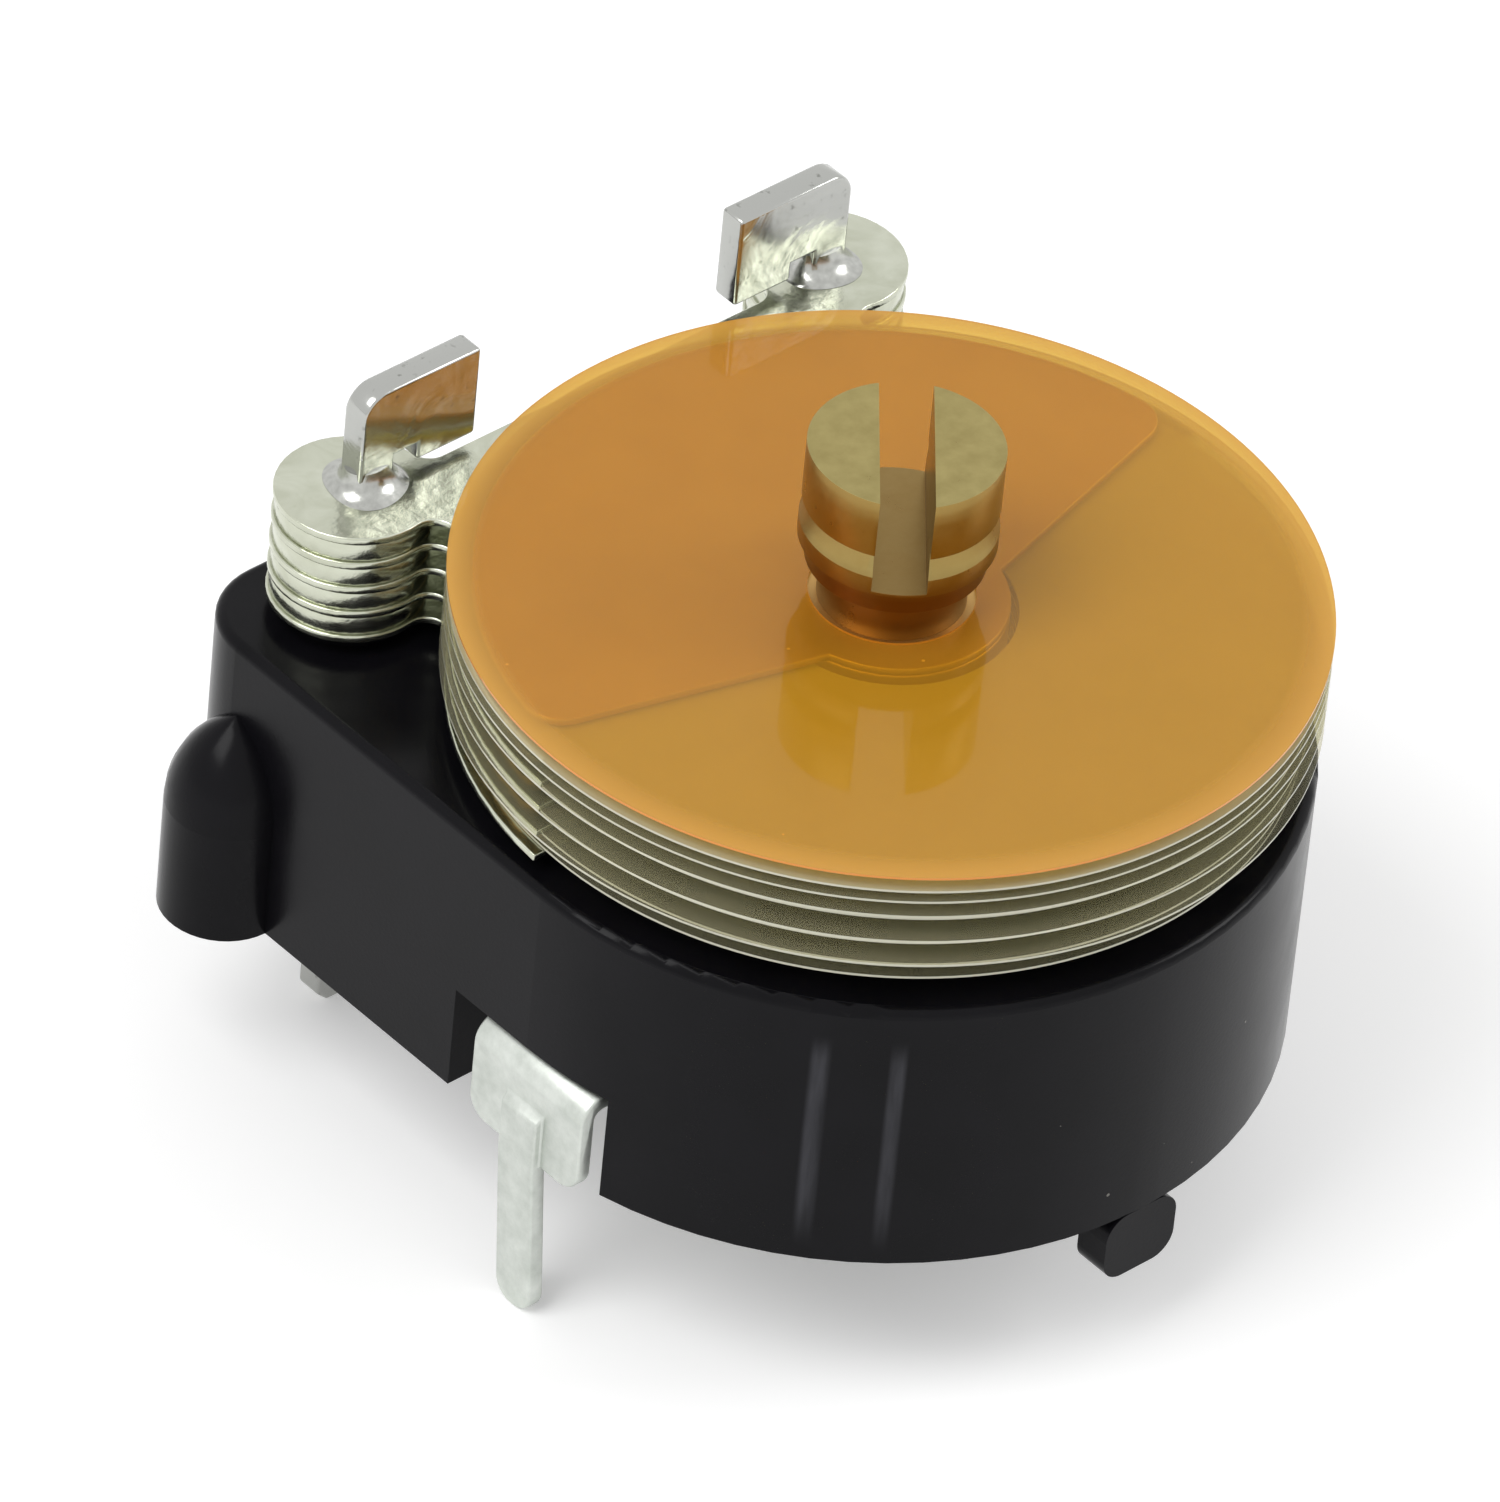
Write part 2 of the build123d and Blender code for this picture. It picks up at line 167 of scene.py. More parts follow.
# ---------------------------------------------------------------- rotor terminal
# One strip of spring bronze, tinned dull: a contact ring round the spindle under the base, an
# arm to the wall, a bend over the wall's slot, and a tab whose pin goes through the board.
def eased_copy(node, width):
    """A CAD part's shape with its triangles joined and its sharp edges eased by a small bevel."""
    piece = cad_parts[node].copy()
    piece.data = piece.data.copy()
    piece.name = piece.data.name = node + "_eased"
    bpy.context.scene.collection.objects.link(piece)
    piece.parent = None
    piece.matrix_world.identity()
    bpy.ops.object.select_all(action="DESELECT")
    piece.select_set(True)
    bpy.context.view_layer.objects.active = piece
    bpy.ops.mesh.customdata_custom_splitnormals_clear()
    bpy.ops.object.mode_set(mode="EDIT")
    bpy.ops.mesh.select_all(action="SELECT")
    bpy.ops.mesh.remove_doubles(threshold=0.001 * mm)
    bpy.ops.mesh.dissolve_limited(angle_limit=radians(0.5))
    bpy.ops.object.mode_set(mode="OBJECT")
    ease = piece.modifiers.new("ease", "BEVEL")
    ease.width, ease.segments = width, 2
    ease.limit_method, ease.angle_limit = "ANGLE", radians(35)
    bpy.ops.object.modifier_apply(modifier="ease")
    bpy.ops.object.shade_smooth()
    weigh = piece.modifiers.new("weigh", "WEIGHTED_NORMAL")
    weigh.keep_sharp = False
    bpy.ops.object.modifier_apply(modifier="weigh")
    return piece


def settle(piece, material, body, slot, *nodes):
    """Give a finished piece its material and body, and hide the CAD parts that it stands for."""
    piece.data.materials.clear()
    piece.data.materials.append(material)
    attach(piece, body)
    if nodes:
        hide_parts(*nodes)


# Dull tin: a fine satin bloom over the rolled strip, cloudier where it was handled.
satin_tin, tree, output = new_material("dull_tinned_bronze")
place = add_node(tree, "ShaderNodeTexCoord").outputs["Object"]
bloom = add_node(tree, "ShaderNodeTexNoise", {"Scale": 1 / (0.35 * mm), "Detail": 7,
                 "Roughness": 0.68}, {"Vector": place})
colour = add_node(tree, "ShaderNodeMix", {"data_type": "RGBA", 6: linear("#A6ADA4"),
                  7: linear("#EEF1EC")}, {0: bloom.outputs["Fac"]})
gloss = add_node(tree, "ShaderNodeMapRange", {"To Min": 0.3, "To Max": 0.55},
                 {"Value": bloom.outputs["Fac"]})
rolled = add_node(tree, "ShaderNodeMapping", {"Scale": (1, 1, 0.1)}, {"Vector": place})
streaks = add_node(tree, "ShaderNodeTexNoise", {"Scale": 1 / (0.03 * mm), "Detail": 3},
                   {"Vector": rolled.outputs[0]})
relief = add_node(tree, "ShaderNodeBump", {"Strength": 0.35, "Distance": 0.004 * mm},
                  {"Height": streaks.outputs["Fac"]})
tin = add_node(tree, "ShaderNodeBsdfPrincipled", {"Metallic": 0.9},
               {"Base Color": colour.outputs[2], "Roughness": gloss.outputs[0],
                "Normal": relief.outputs[0]})
tree.links.new(tin.outputs[0], output.inputs[0])

rotor_terminal = eased_copy("rotor_terminal", 0.03 * mm)
settle(rotor_terminal, satin_tin, "stator", "spring_metal", "rotor_terminal")

# ---------------------------------------------------------------- washers
# A thrust washer under the lowest rotor plate, and the washer that the spindle's foot is
# riveted over.  Both are pressed from nickel-plated steel and sit out of sight.

# Nickel over steel: a warm grey, tumbled smooth, with a fine even grain.
washer_nickel, tree, output = new_material("nickel_plated_steel")
place = add_node(tree, "ShaderNodeTexCoord").outputs["Object"]
tumbled = add_node(tree, "ShaderNodeTexNoise", {"Scale": 1 / (0.15 * mm), "Detail": 5},
                   {"Vector": place})
colour = add_node(tree, "ShaderNodeMix", {"data_type": "RGBA", 6: linear("#A7A49B"),
                  7: linear("#C9C6BC")}, {0: tumbled.outputs["Fac"]})
gloss = add_node(tree, "ShaderNodeMapRange", {"To Min": 0.22, "To Max": 0.4},
                 {"Value": tumbled.outputs["Fac"]})
nickel = add_node(tree, "ShaderNodeBsdfPrincipled", {"Metallic": 1},
                  {"Base Color": colour.outputs[2], "Roughness": gloss.outputs[0]})
tree.links.new(nickel.outputs[0], output.inputs[0])

for node, body in (("thrust_washer", "stator"), ("retaining_washer", "rotor")):
    washer = eased_copy(node, 0.03 * mm)
    settle(washer, washer_nickel, body, "washer_steel", node)

# ---------------------------------------------------------------- stator plates and spacers
# Five half-round plates with an ear at each back corner, blanked from thin tinned sheet.  The
# spacers between their ears are blanked from the same sheet, so an ear is one bright stack.

# Bright tin: nearly a mirror with soft mottling where the coat froze, greenish beside white.
bright_tin, tree, output = new_material("bright_tinned_sheet")
place = add_node(tree, "ShaderNodeTexCoord").outputs["Object"]
mottle = add_node(tree, "ShaderNodeTexNoise", {"Scale": 1 / (0.45 * mm), "Detail": 5,
                  "Distortion": 0.6}, {"Vector": place})
colour = add_node(tree, "ShaderNodeMix", {"data_type": "RGBA", 6: linear("#A9AC96"),
                  7: linear("#DCDFD0")}, {0: mottle.outputs["Fac"]})
gloss = add_node(tree, "ShaderNodeMapRange", {"To Min": 0.12, "To Max": 0.32},
                 {"Value": mottle.outputs["Fac"]})
frozen = add_node(tree, "ShaderNodeTexNoise", {"Scale": 1 / (0.18 * mm), "Detail": 3},
                  {"Vector": place})
relief = add_node(tree, "ShaderNodeBump", {"Strength": 0.5, "Distance": 0.02 * mm},
                  {"Height": frozen.outputs["Fac"]})
tin = add_node(tree, "ShaderNodeBsdfPrincipled", {"Metallic": 1},
               {"Base Color": colour.outputs[2], "Roughness": gloss.outputs[0],
                "Normal": relief.outputs[0]})
tree.links.new(tin.outputs[0], output.inputs[0])

sheet_edge = 0.022 * mm  # how far a blanked edge is rounded
sheet_parts = [f"stator_plate_{i}" for i in range(1, 6)]
sheet_parts += ["stator_spacers_left", "stator_spacers_right"]
for node in sheet_parts:
    sheet_part = eased_copy(node, sheet_edge)
    settle(sheet_part, bright_tin, "stator", "plate_metal", node)

# ---------------------------------------------------------------- clear films
# Nine discs punched from milky plastic film, one in each gap of the pile.  They are thin
# enough to wave a little at the rim, where their cut edges catch the light.
film_thickness = 0.03 * mm
film_hole, film_wave = 1.45 * mm, 0.004 * mm
film_radii = [4.985, 4.996, 4.996, 4.86, 4.996, 4.85, 4.996, 4.8, 4.77]  # from the lowest up, in mm


def film_disc(name, bottom, radius, hole, wave, phase):
    """A punched film ring, built from the rim inwards, given its thickness and a slight wave."""
    bpy.ops.object.select_all(action="DESELECT")
    bpy.ops.mesh.primitive_circle_add(vertices=160, radius=radius, location=(0, 0, bottom))
    disc = bpy.context.object
    disc.name = disc.data.name = name
    bpy.ops.object.transform_apply()
    bpy.ops.object.mode_set(mode="EDIT")
    bpy.ops.mesh.select_all(action="SELECT")
    # rings from the rim to the hole, closest near the rim, where the film waves most
    rings = [radius, 4.6 * mm, 4.1 * mm, 3.5 * mm, 2.8 * mm, 2.1 * mm, hole]
    for outer, inner in zip(rings, rings[1:]):
        bpy.ops.mesh.extrude_edges_move()
        bpy.ops.transform.resize(value=(inner / outer, inner / outer, 1),
                                 center_override=(0, 0, bottom))
    bpy.ops.mesh.select_all(action="SELECT")
    bpy.ops.mesh.normals_make_consistent(inside=False)
    bpy.ops.object.mode_set(mode="OBJECT")
    if disc.data.polygons[0].normal.z < 0:
        disc.data.flip_normals()
    for corner in disc.data.vertices:
        reach = hypot(corner.co.x, corner.co.y) / radius
        turn = atan2(corner.co.y, corner.co.x)
        corner.co.z += wave * reach ** 3 * sin(2 * turn + phase)
    body = disc.modifiers.new("thickness", "SOLIDIFY")
    body.thickness, body.offset = film_thickness, 1
    bpy.ops.object.modifier_apply(modifier="thickness")
    bpy.ops.object.shade_smooth_by_angle(angle=radians(40))
    return disc


def levelness(tree, texture):
    """1 on a level face and 0 on an upright one."""
    facing = add_node(tree, "ShaderNodeSeparateXYZ", {}, {"Vector": texture.outputs["Normal"]})
    level = add_node(tree, "ShaderNodeMath", {"operation": "ABSOLUTE"}, {0: facing.outputs["Z"]})
    return level.outputs[0]


def distance_from_axis(tree, place):
    """How far a point stands from the spindle's axis, in metres."""
    flat = add_node(tree, "ShaderNodeMapping", {"Scale": (1, 1, 0)}, {"Vector": place})
    reach = add_node(tree, "ShaderNodeVectorMath", {"operation": "LENGTH"}, {0: flat.outputs[0]})
    return reach.outputs["Value"]


def film_finish(tree, output, milk, tint, clear, rough, ior, sheen):
    """Join a film's material: clear where milk is 0 and scattering its tint where milk is 1, under
    a shine that only the faces' fronts have, because light inside a thin film leaves it freely."""
    through = add_node(tree, "ShaderNodeBsdfTransparent", {"Color": linear(clear)})
    scatter = add_node(tree, "ShaderNodeBsdfPrincipled", {"Roughness": rough}, {"Base Color": tint})
    film = add_node(tree, "ShaderNodeMixShader", {}, {0: milk, 1: through.outputs[0],
                    2: scatter.outputs[0]})
    side = add_node(tree, "ShaderNodeNewGeometry")
    shine = add_node(tree, "ShaderNodeFresnel", {"IOR": ior})
    shine = add_node(tree, "ShaderNodeMix", {3: 0}, {0: side.outputs["Backfacing"],
                     2: shine.outputs[0]})
    mirror = add_node(tree, "ShaderNodeBsdfGlossy", {"Roughness": sheen})
    film = add_node(tree, "ShaderNodeMixShader", {}, {0: shine.outputs[0], 1: film.outputs[0],
                    2: mirror.outputs[0]})
    tree.links.new(film.outputs[0], output.inputs[0])


# Milky film: lets most light through, scatters the rest to a grey-beige veil, and shines at
# a low angle.  The cut rim is rougher and scatters more.
clear_plastic, tree, output = new_material("milky_plastic_film")
texture = add_node(tree, "ShaderNodeTexCoord")
place, level = texture.outputs["Object"], levelness(tree, texture)
haze = add_node(tree, "ShaderNodeTexNoise", {"Scale": 1 / (1.2 * mm), "Detail": 4},
                {"Vector": place})
# the uppermost film is the cloudiest, and most inside the circle that its rotor plate scuffs
height = add_node(tree, "ShaderNodeSeparateXYZ", {}, {"Vector": place})
upper = add_node(tree, "ShaderNodeMapRange", {"From Min": 5.34 * mm, "From Max": 5.42 * mm,
                 "To Min": 0.15, "To Max": 0.7}, {"Value": height.outputs["Z"]})
scuffed = add_node(tree, "ShaderNodeMapRange", {"From Min": 4.67 * mm, "From Max": 4.76 * mm,
                   "To Min": 1.0, "To Max": 0.72}, {"Value": distance_from_axis(tree, place)})
upper = add_node(tree, "ShaderNodeMath", {"operation": "MULTIPLY"},
                 {0: upper.outputs[0], 1: scuffed.outputs[0]})
cloudy = add_node(tree, "ShaderNodeMapRange", {"To Min": 0.85, "To Max": 1.15},
                  {"Value": haze.outputs["Fac"]})
veil = add_node(tree, "ShaderNodeMath", {"operation": "MULTIPLY"},
                {0: upper.outputs[0], 1: cloudy.outputs[0]})
milk = add_node(tree, "ShaderNodeMix", {2: 0.75}, {0: level, 3: veil.outputs[0]})
tint = add_node(tree, "ShaderNodeMix", {"data_type": "RGBA", 6: linear("#E2E0CC"),
                7: linear("#E0DCC0")}, {0: level})
film_finish(tree, output, milk.outputs[0], tint.outputs[2], clear="#F6F5EC", rough=0.35,
            ior=1.28, sheen=0.06)

for i, radius in enumerate(film_radii, 1):
    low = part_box(f"clear_film_{i}")[0].z
    disc = film_disc(f"clear_film_{i}_disc", low, radius * mm, film_hole, film_wave, phase=1.7 * i)
    settle(disc, clear_plastic, "stator", "clear_film", f"clear_film_{i}")

# ---------------------------------------------------------------- rotor plates and spacers
# Five half-round plates pressed on the spindle with spacers between their hubs, blanked from
# bare brass sheet, which is what gives the top film its deep orange where they lie under it.

# Bare rolled brass: warm and even, fine rolling lines along the sheet.
sheet_brass, tree, output = new_material("rolled_brass_sheet")
place = add_node(tree, "ShaderNodeTexCoord").outputs["Object"]
rolled = add_node(tree, "ShaderNodeMapping", {"Scale": (0.06, 1, 1)}, {"Vector": place})
lines = add_node(tree, "ShaderNodeTexNoise", {"Scale": 1 / (0.05 * mm), "Detail": 4},
                 {"Vector": rolled.outputs[0]})
cloud = add_node(tree, "ShaderNodeTexNoise", {"Scale": 1 / (1.1 * mm), "Detail": 4},
                 {"Vector": place})
colour = add_node(tree, "ShaderNodeMix", {"data_type": "RGBA", 6: linear("#C89A52"),
                  7: linear("#DDB878")}, {0: cloud.outputs["Fac"]})
relief = add_node(tree, "ShaderNodeBump", {"Strength": 0.25, "Distance": 0.003 * mm},
                  {"Height": lines.outputs["Fac"]})
brass = add_node(tree, "ShaderNodeBsdfPrincipled", {"Metallic": 1, "Roughness": 0.42},
                 {"Base Color": colour.outputs[2], "Normal": relief.outputs[0]})
tree.links.new(brass.outputs[0], output.inputs[0])

for i in range(1, 6):
    plate = eased_copy(f"rotor_plate_{i}", sheet_edge)
    settle(plate, sheet_brass, "rotor", "rotor_metal", f"rotor_plate_{i}")
spacers = eased_copy("rotor_spacers", 0.02 * mm)
settle(spacers, sheet_brass, "rotor", "plate_metal", "rotor_spacers")

# ---------------------------------------------------------------- top film
# The cover disc over the pile, punched from amber polyimide film.  It lies loose between the
# top rotor plate and the spindle's collar.
cover_radius, cover_hole, cover_wave = 4.996 * mm, 0.95 * mm, 0.006 * mm

# Amber film: clear, glossy and strongly coloured, so that what lies under it shows through
# orange.  It holds a few specks, and it is milkier towards its rim, which is held and rubbed.
amber, tree, output = new_material("amber_polyimide_film")
texture = add_node(tree, "ShaderNodeTexCoord")
place, level = texture.outputs["Object"], levelness(tree, texture)
dusty = dust_specks(tree, place, spacing=0.55 * mm, size=0.04, share=0.22)
haze = add_node(tree, "ShaderNodeTexNoise", {"Scale": 1 / (1.6 * mm), "Detail": 5},
                {"Vector": place})
veil = add_node(tree, "ShaderNodeMapRange", {"To Min": 0.23, "To Max": 0.31},
                {"Value": haze.outputs["Fac"]})
rubbed = add_node(tree, "ShaderNodeMapRange", {"From Min": 4.6 * mm, "From Max": 4.95 * mm,
                  "To Max": 0.35}, {"Value": distance_from_axis(tree, place)})
veil = add_node(tree, "ShaderNodeMath", {"operation": "ADD"},
                {0: veil.outputs[0], 1: rubbed.outputs[0]})
veil = add_node(tree, "ShaderNodeMath", {"operation": "MAXIMUM"}, {0: veil.outputs[0], 1: dusty})
milk = add_node(tree, "ShaderNodeMix", {2: 0.8}, {0: level, 3: veil.outputs[0]})
tint = add_node(tree, "ShaderNodeMix", {"data_type": "RGBA", 6: linear("#F0983A"),
                7: linear("#E0A636")}, {0: level})
film_finish(tree, output, milk.outputs[0], tint.outputs[2], clear="#F8EBA2", rough=0.3,
            ior=1.34, sheen=0.04)

cover_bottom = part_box("top_film")[0].z
cover = film_disc("top_film_disc", cover_bottom, cover_radius, cover_hole, cover_wave, phase=0.6)
settle(cover, amber, "stator", "amber_film", "top_film")

# ---------------------------------------------------------------- spindle
# Turned from free-cutting brass rod in one piece: shaft, neck, collar, a cone up to the head,
# and a slot sawn across head and collar for the trimming tool.  Its foot is riveted over.
foot_bottom, foot_radius, foot_height = 0.76 * mm, 1.0 * mm, 0.15 * mm
slot_width, slot_depth, slot_bearing = 0.62 * mm, 1.24 * mm, radians(49)
profile = [  # radius and height of each step up from the riveted foot, in mm
    (1.0, 0.91), (0.8, 0.911), (0.8, 5.6025), (0.85, 5.603), (0.85, 6.1505), (1.03, 6.151),
    (1.03, 6.4505), (1.13, 6.451), (1.13, 6.6805), (0.98, 6.9805), (1.12, 6.981), (1.12, 7.7305)]
bpy.ops.object.select_all(action="DESELECT")
bpy.ops.mesh.primitive_cylinder_add(vertices=128, radius=foot_radius, depth=foot_height,
                                    location=(0, 0, foot_bottom + foot_height / 2))
spindle = bpy.context.object
spindle.name = spindle.data.name = "spindle_turned"
bpy.ops.object.transform_apply()
bpy.ops.object.mode_set(mode="EDIT")
bpy.ops.mesh.select_all(action="DESELECT")
bpy.ops.mesh.select_mode(type="FACE")
bpy.ops.object.mode_set(mode="OBJECT")
max(spindle.data.polygons, key=lambda face: face.center.z).select = True
bpy.ops.object.mode_set(mode="EDIT")
radius, height = profile[0]
for next_radius, next_height in profile[1:]:
    bpy.ops.mesh.extrude_region_move()
    bpy.ops.transform.translate(value=(0, 0, (next_height - height) * mm))
    bpy.ops.transform.resize(value=(next_radius / radius, next_radius / radius, 1),
                             center_override=(0, 0, next_height * mm))
    radius, height = next_radius, next_height
bpy.ops.object.mode_set(mode="OBJECT")

# the slot is sawn down from the head's top, by a blade longer and taller than the cut
saw_length, saw_height = 3 * mm, 2 * mm
head_top = profile[-1][1] * mm
bpy.ops.object.select_all(action="DESELECT")
bpy.ops.mesh.primitive_cube_add(size=1, rotation=(0, 0, slot_bearing),
                                location=(0, 0, head_top - slot_depth + saw_height / 2),
                                scale=(saw_length, slot_width, saw_height))
saw = bpy.context.object
bpy.ops.object.select_all(action="DESELECT")
spindle.select_set(True)
bpy.context.view_layer.objects.active = spindle
cut = spindle.modifiers.new("slot", "BOOLEAN")
cut.operation, cut.solver, cut.object = "DIFFERENCE", "EXACT", saw
bpy.ops.object.modifier_apply(modifier="slot")
bpy.data.objects.remove(saw)
ease = spindle.modifiers.new("ease", "BEVEL")
ease.width, ease.segments = 0.05 * mm, 2
ease.limit_method, ease.angle_limit = "ANGLE", radians(25)
bpy.ops.object.modifier_apply(modifier="ease")
bpy.ops.object.shade_smooth()
weigh = spindle.modifiers.new("weigh", "WEIGHTED_NORMAL")
bpy.ops.object.modifier_apply(modifier="weigh")

# Turned brass: fine tool rings round the axis, greenish where it has dulled in the air, with
# painted shade that makes its upright faces warmer and darker, and painted shade in brown on the
# collar and below it.
turned_brass, tree, output = new_material("turned_brass")
texture = add_node(tree, "ShaderNodeTexCoord")
place, level = texture.outputs["Object"], levelness(tree, texture)
rings = add_node(tree, "ShaderNodeTexWave", {"wave_type": "RINGS", "rings_direction": "Z",
                 "Scale": 1 / (0.5 * mm), "Distortion": 1.5, "Detail": 2}, {"Vector": place})
bands = add_node(tree, "ShaderNodeTexWave", {"wave_type": "BANDS", "bands_direction": "Z",
                 "Scale": 1 / (0.5 * mm), "Distortion": 1.5, "Detail": 2}, {"Vector": place})
cuts = add_node(tree, "ShaderNodeMath", {"operation": "ADD"},
                {0: rings.outputs["Fac"], 1: bands.outputs["Fac"]})
dull = add_node(tree, "ShaderNodeTexNoise", {"Scale": 1 / (0.35 * mm), "Detail": 6,
                "Roughness": 0.62}, {"Vector": place})
colour = add_node(tree, "ShaderNodeMix", {"data_type": "RGBA", 6: linear("#887A48"),
                  7: linear("#B8AA72")}, {0: dull.outputs["Fac"]})
# painted shade: upright faces are mixed towards a darker, warmer brown than level ones
painted_side_shade = add_node(tree, "ShaderNodeMapRange", {"From Min": 0.8, "From Max": 0.2, "To Max": 0.55},
                  {"Value": level})
colour = add_node(tree, "ShaderNodeMix", {"data_type": "RGBA", 7: linear("#9A7638")},
                  {0: painted_side_shade.outputs[0], 6: colour.outputs[2]})
# painted shade: a darker brown from the collar down, three quarters as strong on the neck
height = add_node(tree, "ShaderNodeSeparateXYZ", {}, {"Vector": place})
below = add_node(tree, "ShaderNodeMapRange", {"From Min": 6.75 * mm, "From Max": 6.3 * mm},
                 {"Value": height.outputs["Z"]})
neck = add_node(tree, "ShaderNodeMapRange", {"From Min": 6.13 * mm, "From Max": 6.17 * mm,
                "To Min": 0.75}, {"Value": height.outputs["Z"]})
painted_collar_shade = add_node(tree, "ShaderNodeMath", {"operation": "MULTIPLY"},
                {0: below.outputs[0], 1: neck.outputs[0]})
colour = add_node(tree, "ShaderNodeMix", {"data_type": "RGBA", 7: linear("#7A5224")},
                  {0: painted_collar_shade.outputs[0], 6: colour.outputs[2]})
gloss = add_node(tree, "ShaderNodeMapRange", {"To Min": 0.2, "To Max": 0.42},
                 {"Value": dull.outputs["Fac"]})
relief = add_node(tree, "ShaderNodeBump", {"Strength": 0.12, "Distance": 0.003 * mm},
                  {"Height": cuts.outputs[0]})
brass = add_node(tree, "ShaderNodeBsdfPrincipled", {"Metallic": 1},
                 {"Base Color": colour.outputs[2], "Roughness": gloss.outputs[0],
                  "Normal": relief.outputs[0]})
tree.links.new(brass.outputs[0], output.inputs[0])
settle(spindle, turned_brass, "rotor", "brass", "spindle")

# ---------------------------------------------------------------- stator terminals
# Two flat pins blanked from bronze strip and dipped in tin.  Each goes up through the base
# and its ear stack, and ends in a flag that points inwards over the top plate.

# Dipped tin: a bright skin that froze in slow waves, with a few grey pits.
dipped_tin, tree, output = new_material("dipped_tin")
place = add_node(tree, "ShaderNodeTexCoord").outputs["Object"]
waves = add_node(tree, "ShaderNodeTexNoise", {"Scale": 1 / (0.7 * mm), "Detail": 3,
                 "Distortion": 0.8}, {"Vector": place})
pits = add_node(tree, "ShaderNodeTexNoise", {"Scale": 1 / (0.12 * mm), "Detail": 5},
                {"Vector": place})
pit = add_node(tree, "ShaderNodeMapRange", {"From Min": 0.62, "From Max": 0.72},
               {"Value": pits.outputs["Fac"]})
colour = add_node(tree, "ShaderNodeMix", {"data_type": "RGBA", 6: linear("#B4B5B1"),
                  7: linear("#8E8F8A")}, {0: pit.outputs[0]})
gloss = add_node(tree, "ShaderNodeMapRange", {"To Min": 0.1, "To Max": 0.24},
                 {"Value": pits.outputs["Fac"]})
relief = add_node(tree, "ShaderNodeBump", {"Strength": 0.4, "Distance": 0.04 * mm},
                  {"Height": waves.outputs["Fac"]})
tin = add_node(tree, "ShaderNodeBsdfPrincipled", {"Metallic": 1},
               {"Base Color": colour.outputs[2], "Roughness": gloss.outputs[0],
                "Normal": relief.outputs[0]})
tree.links.new(tin.outputs[0], output.inputs[0])

for hand in ("left", "right"):
    flag = eased_copy(f"stator_terminal_{hand}", 0.04 * mm)
    settle(flag, dipped_tin, "stator", "terminal_metal", f"stator_terminal_{hand}")

# ---------------------------------------------------------------- solder
# A hand-made joint on each ear: tin-lead solder drawn up round the stem while it was liquid,
# which leaves a bright hollow-sided fillet with an uneven foot.

# Frozen solder: a mirror with a faint grain.
frozen_solder, tree, output = new_material("tin_lead_solder")
place = add_node(tree, "ShaderNodeTexCoord").outputs["Object"]
grain = add_node(tree, "ShaderNodeTexNoise", {"Scale": 1 / (0.1 * mm), "Detail": 4},
                 {"Vector": place})
colour = add_node(tree, "ShaderNodeMix", {"data_type": "RGBA", 6: linear("#9A9B96"),
                  7: linear("#CFD0CB")}, {0: grain.outputs["Fac"]})
gloss = add_node(tree, "ShaderNodeMapRange", {"To Min": 0.14, "To Max": 0.3},
                 {"Value": grain.outputs["Fac"]})
relief = add_node(tree, "ShaderNodeBump", {"Strength": 0.25, "Distance": 0.01 * mm},
                  {"Height": grain.outputs["Fac"]})
metal = add_node(tree, "ShaderNodeBsdfPrincipled", {"Metallic": 1},
                 {"Base Color": colour.outputs[2], "Roughness": gloss.outputs[0],
                  "Normal": relief.outputs[0]})
tree.links.new(metal.outputs[0], output.inputs[0])

stem_x, stem_y = 3.4 * mm, 5.1 * mm
fillet_radius, fillet_lift = 0.512, 0.001  # in mm, and so is the fillet's profile
fillet_profile = [  # half width, half depth and height of each ring up the stem
    (0.51, 0.515, 0.004), (0.46, 0.47, 0.02), (0.41, 0.40, 0.05), (0.37, 0.33, 0.09),
    (0.335, 0.27, 0.15), (0.31, 0.235, 0.22), (0.295, 0.215, 0.295), (0.2, 0.12, 0.298)]
wander, wander_fade = 0.05, 0.05 * mm  # the foot's edge wanders, and less and less up the stem
for side, hand in ((-1, "left"), (1, "right")):
    foot_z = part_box(f"solder_{hand}")[0].z
    centre = (side * stem_x, stem_y)
    bpy.ops.object.select_all(action="DESELECT")
    bpy.ops.mesh.primitive_circle_add(vertices=48, radius=fillet_radius * mm, fill_type="NGON",
                                      location=(*centre, foot_z + fillet_lift * mm))
    fillet = bpy.context.object
    fillet.name = fillet.data.name = f"solder_{hand}_fillet"
    bpy.ops.object.transform_apply()
    bpy.ops.object.mode_set(mode="EDIT")
    bpy.ops.mesh.select_all(action="SELECT")
    along, across, up = fillet_radius, fillet_radius, fillet_lift
    for wide, deep, rise in fillet_profile:
        bpy.ops.mesh.extrude_region_move()
        bpy.ops.transform.translate(value=(0, 0, (rise - up) * mm))
        bpy.ops.transform.resize(value=(wide / along, deep / across, 1),
                                 center_override=(*centre, foot_z + rise * mm))
        along, across, up = wide, deep, rise
    bpy.ops.mesh.select_all(action="SELECT")
    bpy.ops.mesh.normals_make_consistent(inside=False)
    bpy.ops.object.mode_set(mode="OBJECT")
    for corner in fillet.data.vertices:
        turn = atan2(corner.co.y - centre[1], corner.co.x - centre[0])
        fade = wander_fade / (wander_fade + corner.co.z - foot_z)
        pull = 1 - wander * (1 + sin(3 * turn + side)) * fade
        corner.co.x = centre[0] + (corner.co.x - centre[0]) * pull
        corner.co.y = centre[1] + (corner.co.y - centre[1]) * pull
    bpy.ops.object.shade_smooth_by_angle(angle=radians(60))
    settle(fillet, frozen_solder, "stator", "solder", f"solder_{hand}")

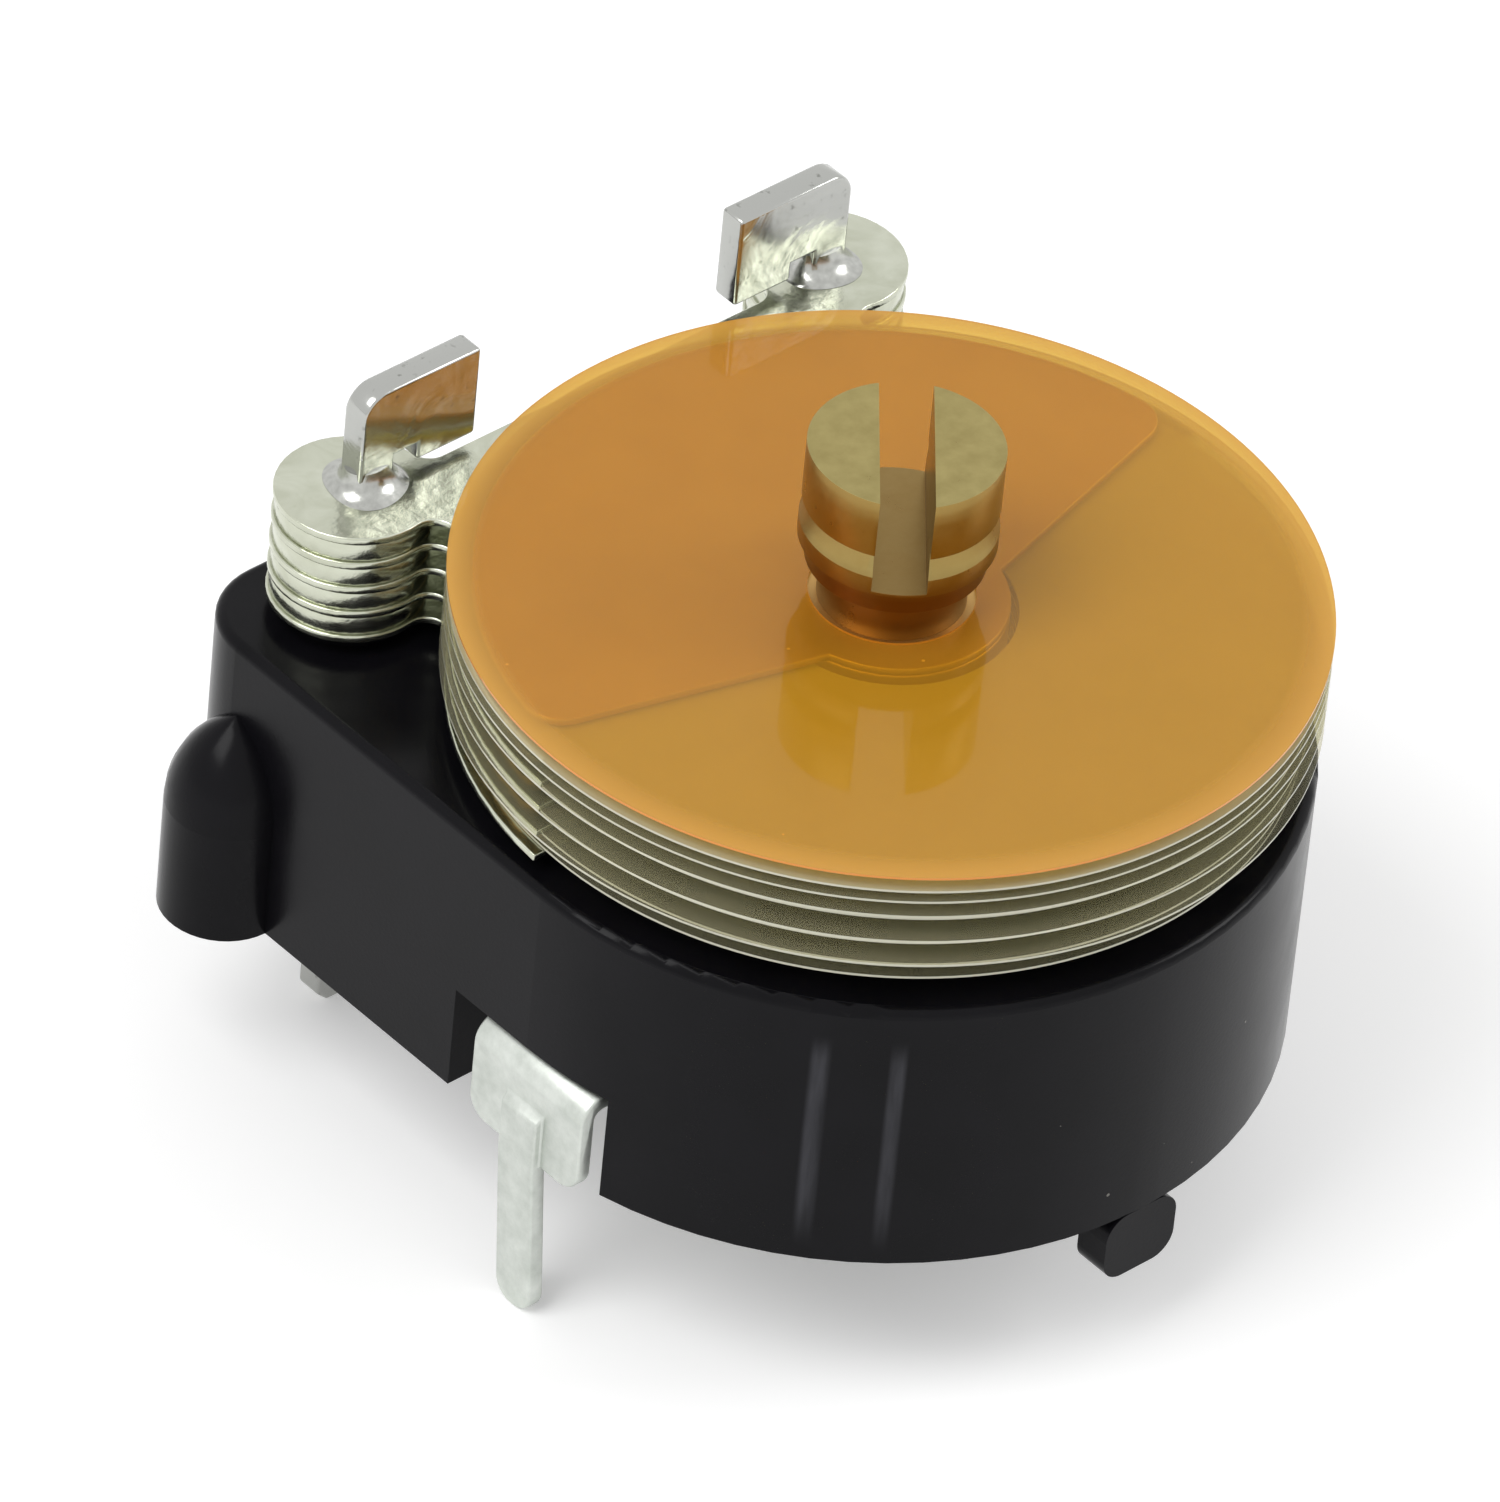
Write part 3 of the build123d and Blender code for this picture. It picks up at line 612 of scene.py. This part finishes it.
# ---------------------------------------------------------------- studio
# The part stands on its pins on a white table in a white room.  The table keeps its shadow.
def seen_in_view(tree):
    """1 for what the camera sees, straight or by way of metal and film, and 0 for other light."""
    rays = add_node(tree, "ShaderNodeLightPath")
    seen = add_node(tree, "ShaderNodeMath", {"operation": "MAXIMUM"},
                    {0: rays.outputs["Is Camera Ray"], 1: rays.outputs["Is Glossy Ray"]})
    seen = add_node(tree, "ShaderNodeMath", {"operation": "MAXIMUM"},
                    {0: seen.outputs[0], 1: rays.outputs["Is Transmission Ray"]})
    return seen.outputs[0]


# White laminate: matt, and lifted to a clean white in view.
table_gap = 0.01 * mm
floor_z = cad_box[0].z - table_gap
bpy.ops.object.select_all(action="DESELECT")
bpy.ops.mesh.primitive_plane_add(size=1.2, location=(0, 0, floor_z))
table = bpy.context.object
table.name = "table"
white_table, tree, output = new_material("white_table")
lift = add_node(tree, "ShaderNodeMath", {"operation": "MULTIPLY", 1: 0.3},
                {0: seen_in_view(tree)})
paint = add_node(tree, "ShaderNodeBsdfDiffuse", {"Color": linear("#EDEDED")})
glow = add_node(tree, "ShaderNodeEmission", {}, {"Strength": lift.outputs[0]})
white = add_node(tree, "ShaderNodeAddShader", {}, {0: paint.outputs[0], 1: glow.outputs[0]})
tree.links.new(white.outputs[0], output.inputs[0])
table.data.materials.append(white_table)

# White walls all round: plain soft light, and a full white in view.
room = bpy.data.worlds.new("white_room")
bpy.context.scene.world = room
room.use_nodes = True
room.node_tree.nodes.clear()
tree = room.node_tree
output = add_node(tree, "ShaderNodeOutputWorld")
strength = add_node(tree, "ShaderNodeMapRange", {"To Min": 0.62, "To Max": 1.0},
                    {"Value": seen_in_view(tree)})
walls = add_node(tree, "ShaderNodeBackground", {"Color": linear("#FFFFFF")},
                 {"Strength": strength.outputs[0]})
tree.links.new(walls.outputs[0], output.inputs[0])

# Two softboxes, each with its place and side in metres and its power in watts.
softboxes = (("softbox_left", (-0.22, 0.02, 0.3), 0.22, 0.66),
             ("softbox_right", (0.26, -0.16, 0.22), 0.14, 0.3))
part_centre = Vector((0, 0, 3 * mm))
for name, spot, size, power in softboxes:
    lamp = bpy.data.lights.new(name, "AREA")
    lamp.size, lamp.energy = size, power
    softbox = bpy.data.objects.new(name, lamp)
    bpy.context.scene.collection.objects.link(softbox)
    softbox.location = spot
    softbox.rotation_euler = (part_centre - softbox.location).to_track_quat("-Z", "Y").to_euler()

# ---------------------------------------------------------------- camera
# A long lens, over the corner between the rotor terminal and the front, rolled a little.
turn, rise, roll = radians(44.8), radians(39.7), radians(5.8)
ahead = Vector((sin(turn) * cos(rise), cos(turn) * cos(rise), -sin(rise)))
level_right = Vector((cos(turn), -sin(turn), 0))
level_up = level_right.cross(ahead)
right = level_right * cos(roll) + level_up * sin(roll)
up = level_up * cos(roll) - level_right * sin(roll)
film_centre = Vector((0, 0, 5.65 * mm))
distance, aside, below = 0.2, 1.588 * mm, 1.812 * mm
lens = bpy.data.cameras.new("camera")
lens.lens, lens.sensor_width = 428.3, 36
lens.clip_start, lens.clip_end = 0.01, 5
camera = bpy.data.objects.new("camera", lens)
bpy.context.scene.collection.objects.link(camera)
camera.location = film_centre - aside * right - below * up - distance * ahead
camera.rotation_mode = "QUATERNION"
camera.rotation_quaternion = Matrix((right, up, -ahead)).transposed().to_quaternion()
bpy.context.scene.camera = camera
bpy.context.scene.view_settings.view_transform = "Standard"
